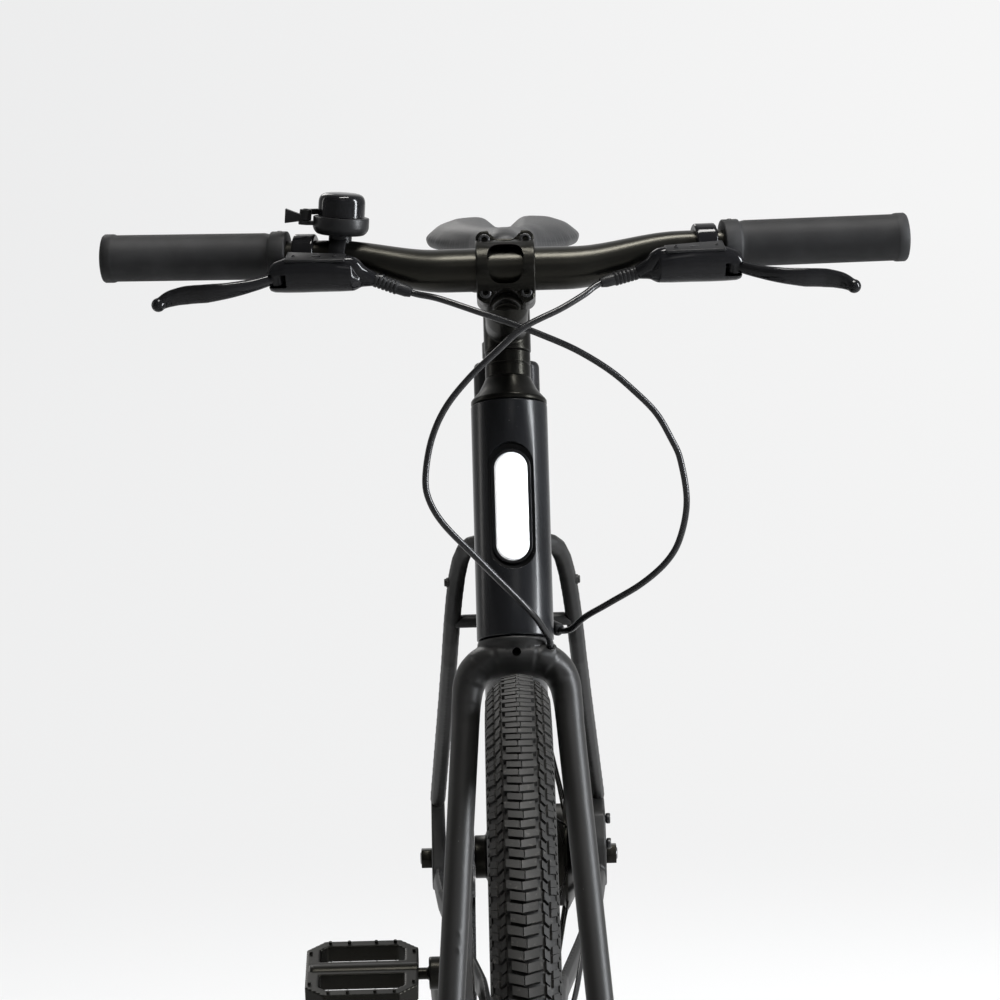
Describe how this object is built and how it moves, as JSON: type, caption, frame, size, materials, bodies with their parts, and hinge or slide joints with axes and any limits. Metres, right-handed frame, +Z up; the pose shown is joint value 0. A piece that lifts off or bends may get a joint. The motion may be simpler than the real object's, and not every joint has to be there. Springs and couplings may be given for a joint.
{
  "type": "electric bicycle",
  "caption": "Black belt-drive electric bicycle with a flat bar, disc brakes, a lamp in the head tube and a lift-out battery behind the seat tube",
  "frame": {"origin": "on the ground under the middle of the wheelbase, in the bicycle's plane of symmetry", "axes": "+Z up, -Y forward, +X to the rider's left"},
  "size_m": [0.598, 1.7386, 1.0243],
  "materials": {
    "steel": "plain turned steel",
    "black_plastic": "matt black moulding",
    "black_anodised": "satin black anodised alloy",
    "frame_paint": "satin black paint with a cool sheen",
    "gloss_black": "gloss black",
    "belt_rubber": "matt black toothed belt",
    "hose_cover": "satin black hose jacket",
    "disc_steel": "ground steel disc",
    "tyre_rubber": "matt black rubber with block tread",
    "grip_rubber": "matt black rubber",
    "light_lens": "lit white diffusing lens",
    "red_lens": "clear red lens",
    "saddle_cover": "smooth dark synthetic leather"
  },
  "bodies": {
    "frame": {"head_tube": "frame_paint", "top_tube": "frame_paint", "down_tube": "frame_paint", "seat_tube": "frame_paint", "bottom_bracket_shell": "frame_paint", "seat_stay_left": "frame_paint", "seat_stay_right": "frame_paint", "stay_bridge": "frame_paint", "chain_stay_left": "frame_paint", "chain_stay_right": "frame_paint", "battery_cradle": "black_plastic", "headlight_bezel": "gloss_black", "headlight_lens": "light_lens", "seat_clamp": "black_anodised", "rear_brake_caliper": "gloss_black", "rear_hose_stay": "hose_cover", "rear_brake_hose": "hose_cover", "rear_axle": "steel", "axle_nut_left": "steel", "axle_nut_right": "steel", "drive_belt": "belt_rubber"},
    "steering": {"fork": "frame_paint", "headset_cover": "black_anodised", "stem_spacer": "black_anodised", "stem": "black_anodised", "stem_faceplate": "black_anodised", "stem_cap": "black_anodised", "handlebar": "black_anodised", "grip_left": "grip_rubber", "grip_right": "grip_rubber", "brake_body_left": "gloss_black", "brake_body_right": "gloss_black", "bell_base": "black_plastic", "bell_dome": "black_anodised", "front_brake_hose": "hose_cover", "front_brake_caliper": "gloss_black", "front_axle": "black_anodised"},
    "brake_lever_left": {"brake_lever_left": "gloss_black"},
    "brake_lever_right": {"brake_lever_right": "gloss_black"},
    "bell_striker": {"bell_striker": "black_plastic"},
    "front_wheel": {"front_tyre": "tyre_rubber", "front_rim": "black_anodised", "front_hub": "black_anodised", "front_rotor": "disc_steel"},
    "rear_wheel": {"rear_tyre": "tyre_rubber", "rear_rim": "black_anodised", "motor_hub": "black_anodised", "rear_rotor": "disc_steel"},
    "rear_sprocket": {"rear_sprocket": "steel"},
    "crank": {"belt_ring": "black_anodised", "crank_arm_right": "black_anodised", "crank_arm_left": "black_anodised"},
    "pedal_left": {"pedal_left": "black_anodised"},
    "pedal_right": {"pedal_right": "black_anodised"},
    "seat": {"seatpost": "black_anodised", "saddle": "saddle_cover", "saddle_rails": "steel"},
    "battery": {"battery_case": "black_plastic", "rear_light_lens": "red_lens"},
    "battery_lock": {"battery_lock": "steel"}
  },
  "joints": [
    {"name": "steering_turn", "type": "hinge", "parent": "frame", "child": "steering", "pos_m": [0, -0.48236, 0.32988], "axis": [0, 0.3338, 0.9426], "range_deg": [-48, 48], "deforming": ["rear_brake_hose"]},
    {"name": "front_wheel_spin", "type": "hinge", "parent": "steering", "child": "front_wheel", "pos_m": [0, -0.5245, 0.3448], "axis": [1, 0, 0], "continuous": true},
    {"name": "rear_wheel_spin", "type": "hinge", "parent": "frame", "child": "rear_wheel", "pos_m": [0, 0.5245, 0.3448], "axis": [1, 0, 0], "continuous": true},
    {"name": "crank_turn", "type": "hinge", "parent": "frame", "child": "crank", "pos_m": [0, 0.0896, 0.275], "axis": [1, 0, 0], "continuous": true, "deforming": ["drive_belt"]},
    {"name": "rear_sprocket_spin", "type": "hinge", "parent": "frame", "child": "rear_sprocket", "pos_m": [0, 0.5245, 0.3448], "axis": [1, 0, 0], "continuous": true},
    {"name": "pedal_left_spin", "type": "hinge", "parent": "crank", "child": "pedal_left", "pos_m": [0, 0.23054, 0.17994], "axis": [1, 0, 0], "continuous": true},
    {"name": "pedal_right_spin", "type": "hinge", "parent": "crank", "child": "pedal_right", "pos_m": [0, -0.05134, 0.37006], "axis": [1, 0, 0], "continuous": true},
    {"name": "brake_lever_left_pull", "type": "hinge", "parent": "steering", "child": "brake_lever_left", "pos_m": [0.16705, -0.36042, 0.96462], "axis": [0.0535, -0.3378, 0.9397], "range_deg": [0, 16], "stiffness_Nm_per_rad": 2, "springref_deg": -11.46},
    {"name": "brake_lever_right_pull", "type": "hinge", "parent": "steering", "child": "brake_lever_right", "pos_m": [-0.16705, -0.36042, 0.96462], "axis": [0.0535, 0.3378, -0.9397], "range_deg": [0, 16], "stiffness_Nm_per_rad": 2, "springref_deg": -11.46},
    {"name": "bell_strike", "type": "hinge", "parent": "steering", "child": "bell_striker", "pos_m": [-0.14762, -0.34012, 0.97952], "axis": [0.0785, 0, 0.9969], "range_deg": [0, 25], "stiffness_Nm_per_rad": 0.02, "springref_deg": -20.05},
    {"name": "seat_height", "type": "slide", "parent": "frame", "child": "seat", "axis": [0, 0.284, 0.9588], "range_m": [-0.014, 0.1]},
    {"name": "battery_lift", "type": "slide", "parent": "frame", "child": "battery", "axis": [0, 0.284, 0.9588], "range_m": [0, 0.04]},
    {"name": "battery_lock_turn", "type": "hinge", "parent": "frame", "child": "battery_lock", "pos_m": [0, 0.20911, 0.57282], "axis": [1, 0, 0], "range_deg": [0, 90]}
  ],
  "couplings": [
    {"joint": "rear_sprocket_spin", "follows": "crank_turn", "ratio": 2.7273}
  ]
}
